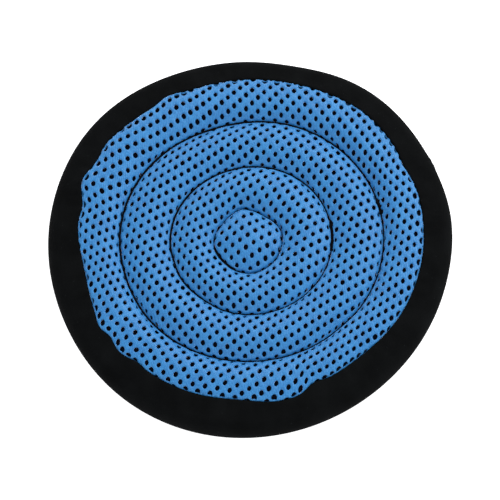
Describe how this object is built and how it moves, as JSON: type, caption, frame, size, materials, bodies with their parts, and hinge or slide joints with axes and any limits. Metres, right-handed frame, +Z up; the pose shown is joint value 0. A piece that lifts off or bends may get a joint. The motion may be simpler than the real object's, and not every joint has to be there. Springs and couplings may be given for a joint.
{
  "type": "flying ring",
  "caption": "Soft quilted flying disc for lawn games: a padded mesh panel with concentric stitching and a cord-filled cloth rim.",
  "frame": {"origin": "centre of the underside, on the surface that the disc rests on", "axes": "+Z up, along the disc's axis; the quilted face that is seen points to +Z; X and Y lie in the disc's plane"},
  "size_m": [0.22, 0.22, 0.019],
  "materials": {
    "face_mesh": "matte knitted mesh",
    "lining_cloth": "matte",
    "rim_cloth": "matte fine knit",
    "soft_foam": "matte open-cell foam",
    "cord_foam": "matte closed-cell foam",
    "joining_tape": "matte",
    "black_thread": "satin twisted thread"
  },
  "bodies": {
    "root": {"top_mesh": "face_mesh", "top_lining": "lining_cloth", "foam_core": "soft_foam", "bottom_lining": "lining_cloth", "bottom_mesh": "face_mesh", "rim_band": "rim_cloth", "rim_cord": "cord_foam", "rim_cord_tape": "joining_tape", "band_join_thread": "black_thread", "top_seam_needle_thread": "black_thread", "top_seam_bobbin_thread": "black_thread", "bottom_seam_needle_thread": "black_thread", "bottom_seam_bobbin_thread": "black_thread", "inner_needle_thread": "black_thread", "middle_needle_thread": "black_thread", "outer_needle_thread": "black_thread", "inner_bobbin_thread": "black_thread", "middle_bobbin_thread": "black_thread", "outer_bobbin_thread": "black_thread"}
  },
  "joints": []
}
